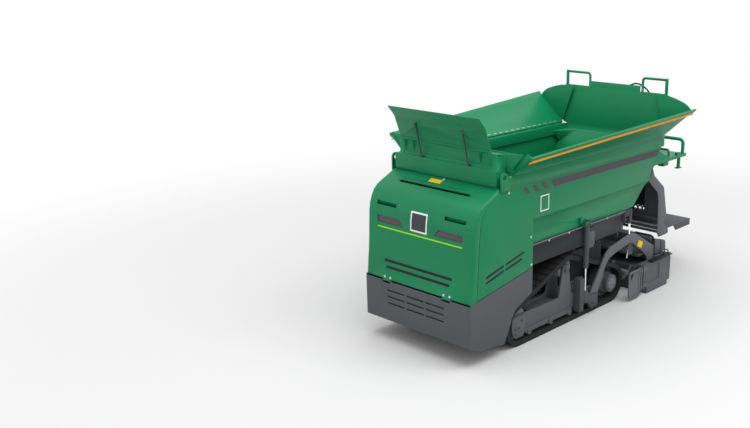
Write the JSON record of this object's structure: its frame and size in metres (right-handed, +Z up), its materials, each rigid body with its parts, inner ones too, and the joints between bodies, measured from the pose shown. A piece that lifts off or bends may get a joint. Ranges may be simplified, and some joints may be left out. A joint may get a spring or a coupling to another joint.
{
  "type": "tracked asphalt paver",
  "caption": "Small asphalt paver on rubber tracks: hood in front, open hopper with folding wings, conveyor, auger, floating screed with sliding extensions, folding platform.",
  "frame": {"origin": "on the ground, under the middle of the machine's overall box", "axes": "+X the way it drives (hood end), +Y its left side, +Z up"},
  "size_m": [2.92, 1.5214, 1.658],
  "materials": {
    "green_paint": "gloss",
    "grey_paint": "satin",
    "dark_paint": "satin",
    "worn_steel": "satin",
    "bare_steel": "matte",
    "chrome_rod": "polished",
    "track_rubber": "matte"
  },
  "bodies": {
    "chassis": {"auger_case": "dark_paint", "body_carrier": "dark_paint", "console": "green_paint", "conveyor": "worn_steel", "final_drive_left": "dark_paint", "final_drive_right": "dark_paint", "flap_stays": "dark_paint", "front_skirt": "grey_paint", "hopper_floor": "worn_steel", "hopper_front_wall": "green_paint", "hopper_rear_wall": "green_paint", "hopper_side_left": "green_paint", "hopper_side_right": "green_paint", "hopper_sills": "green_paint", "lift_barrels": "dark_paint", "main_frame": "dark_paint", "power_pack": "dark_paint", "rear_crossbeams": "dark_paint", "rear_guard": "dark_paint", "rear_handles": "green_paint", "rear_posts": "dark_paint", "rollers_left": "bare_steel", "rollers_right": "bare_steel", "side_panels": "grey_paint", "tow_cylinders": "dark_paint", "tow_guides": "dark_paint", "track_frame_left": "dark_paint", "track_frame_right": "dark_paint", "track_left": "track_rubber", "track_right": "track_rubber"},
    "hood": {"hood_front": "green_paint", "head_lamps": "dark_paint"},
    "wing_left": {"wing_left": "green_paint"},
    "wing_right": {"wing_right": "green_paint"},
    "flap": {"front_flap": "green_paint"},
    "tow_sliders": {"tow_sliders": "dark_paint"},
    "screed": {"screed_body": "dark_paint", "screed_arms": "dark_paint"},
    "lift_rods": {"lift_rods": "chrome_rod"},
    "extension_left": {"screed_extension_left": "dark_paint", "end_gate_left": "dark_paint"},
    "extension_right": {"screed_extension_right": "dark_paint", "end_gate_right": "dark_paint"},
    "auger": {"auger": "bare_steel"},
    "platform": {"platform": "dark_paint"}
  },
  "joints": [
    {"name": "hood_tilt", "type": "hinge", "parent": "chassis", "child": "hood", "pos_m": [1.446, 0, 0.436], "axis": [0, 1, 0], "range_deg": [0, 75]},
    {"name": "wing_left_fold", "type": "hinge", "parent": "chassis", "child": "wing_left", "pos_m": [0, 0.49, 1.222], "axis": [1, 0, 0], "range_deg": [0, 50]},
    {"name": "wing_right_fold", "type": "hinge", "parent": "chassis", "child": "wing_right", "pos_m": [0, -0.49, 1.222], "axis": [-1, 0, 0], "range_deg": [0, 50]},
    {"name": "flap_fold", "type": "hinge", "parent": "chassis", "child": "flap", "pos_m": [1.164, 0, 1.378], "axis": [0, -1, 0], "range_deg": [0, 95]},
    {"name": "tow_lift", "type": "slide", "parent": "chassis", "child": "tow_sliders", "axis": [0, 0, 1], "range_m": [0, 0.05]},
    {"name": "screed_lift", "type": "hinge", "parent": "tow_sliders", "child": "screed", "pos_m": [0.095, 0, 0.092], "axis": [0, 1, 0], "range_deg": [0, 5]},
    {"name": "lift_rods_slide", "type": "slide", "parent": "tow_sliders", "child": "lift_rods", "axis": [0, 0, 1], "range_m": [0, 0.0475]},
    {"name": "extension_left_slide", "type": "slide", "parent": "screed", "child": "extension_left", "axis": [0, 1, 0], "range_m": [0, 0.25]},
    {"name": "extension_right_slide", "type": "slide", "parent": "screed", "child": "extension_right", "axis": [0, -1, 0], "range_m": [0, 0.25]},
    {"name": "auger_turn", "type": "hinge", "parent": "chassis", "child": "auger", "pos_m": [-0.442, 0, 0.17], "axis": [0, 1, 0], "continuous": true},
    {"name": "platform_fold", "type": "hinge", "parent": "chassis", "child": "platform", "pos_m": [-1.04, 0, 0.378], "axis": [0, 1, 0], "range_deg": [0, 80]}
  ],
  "couplings": [
    {"joint": "lift_rods_slide", "follows": "screed_lift", "m_per_rad": 0.535}
  ]
}
